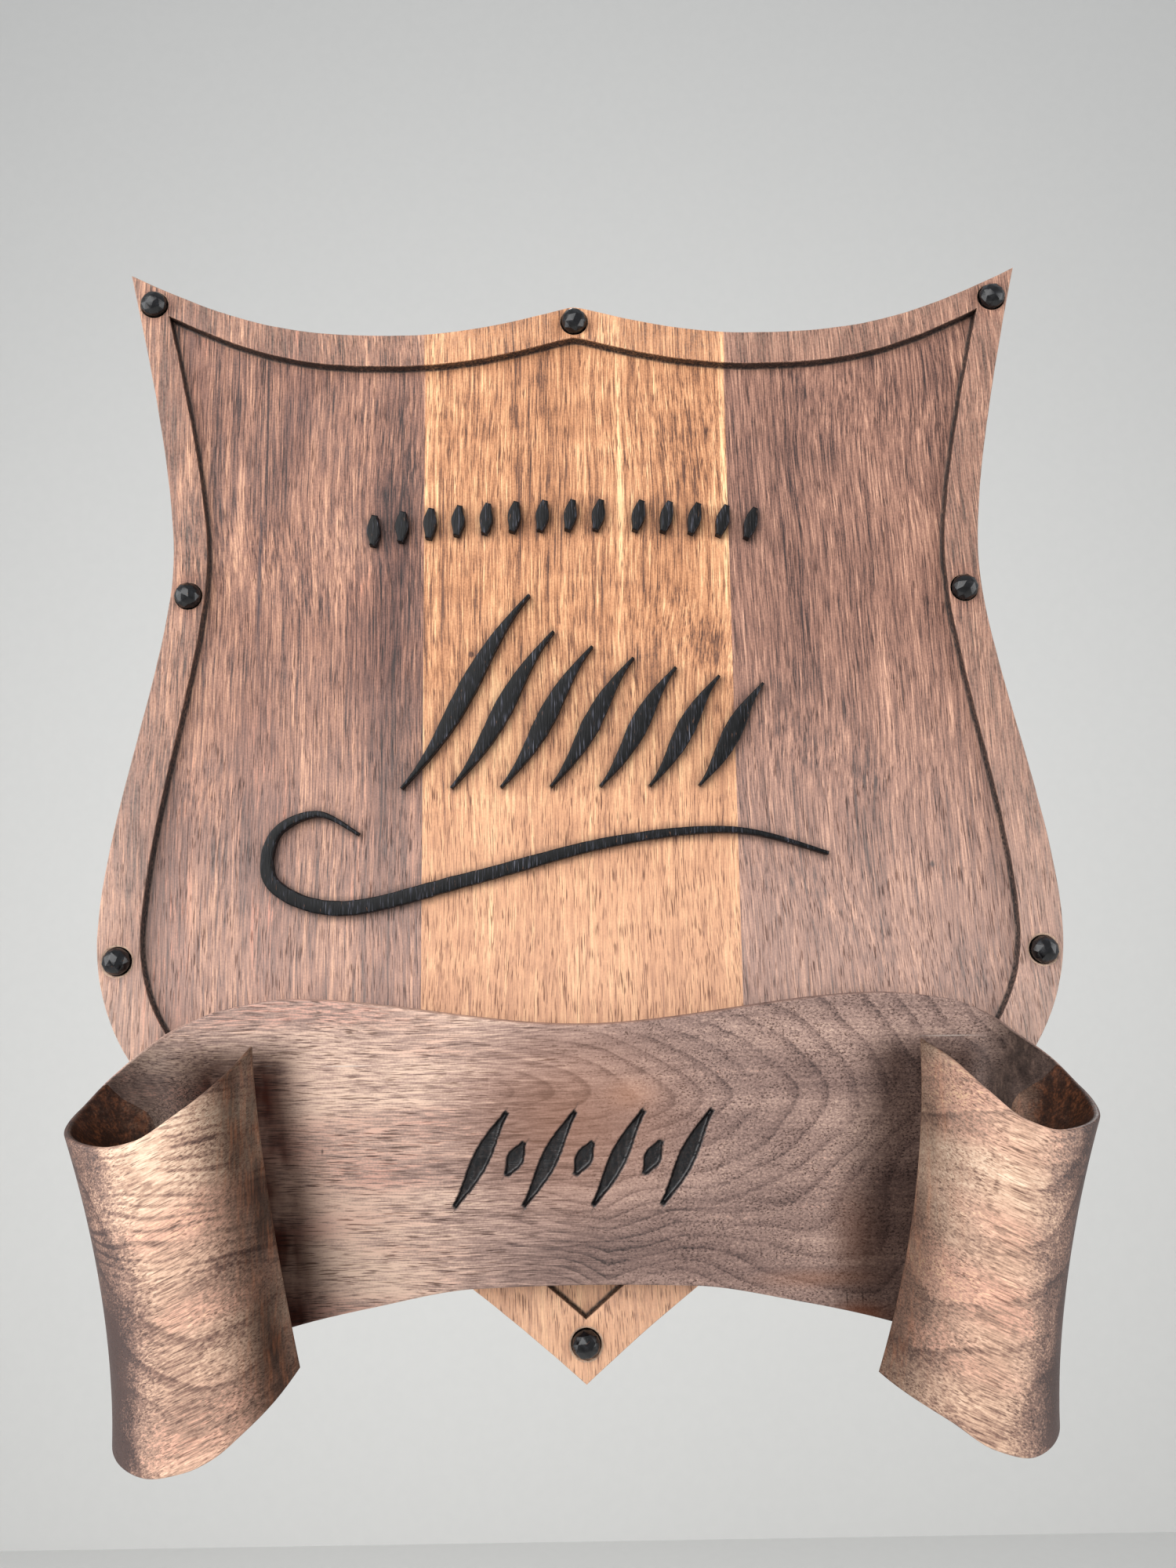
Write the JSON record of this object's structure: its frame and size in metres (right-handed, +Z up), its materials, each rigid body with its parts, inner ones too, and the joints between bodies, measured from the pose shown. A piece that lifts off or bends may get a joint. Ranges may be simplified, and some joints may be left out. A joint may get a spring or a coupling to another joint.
{
  "type": "wooden heraldic shield plaque",
  "caption": "Wooden wall plaque shaped as a heraldic shield, with a raised rim, a sunk field with raised strokes, domed studs and a ribbon banner whose ends roll forward.",
  "frame": {"origin": "middle of the flat back, where the plaque meets the wall", "axes": "+Z up as hung, +X to the right as seen from the front, -Y the way the face looks"},
  "size_m": [0.4572, 0.112, 0.5401],
  "materials": {
    "walnut_side": "oiled walnut, dark reddish brown, satin",
    "walnut_center": "oiled walnut, golden brown, satin",
    "walnut_banner": "oiled walnut, grey brown, matt",
    "walnut_scroll": "oiled walnut with curly figure, satin",
    "blackened_wood": "black stained and lacquered"
  },
  "bodies": {
    "root": {"shield_board_left": "walnut_side", "shield_board_center": "walnut_center", "shield_board_right": "walnut_side", "banner_panel": "walnut_banner", "scroll_left": "walnut_scroll", "scroll_right": "walnut_scroll", "stud_top_left": "blackened_wood", "stud_top_center": "blackened_wood", "stud_top_right": "blackened_wood", "stud_waist_left": "blackened_wood", "stud_waist_right": "blackened_wood", "stud_side_left": "blackened_wood", "stud_side_right": "blackened_wood", "stud_foot": "blackened_wood"}
  },
  "joints": []
}
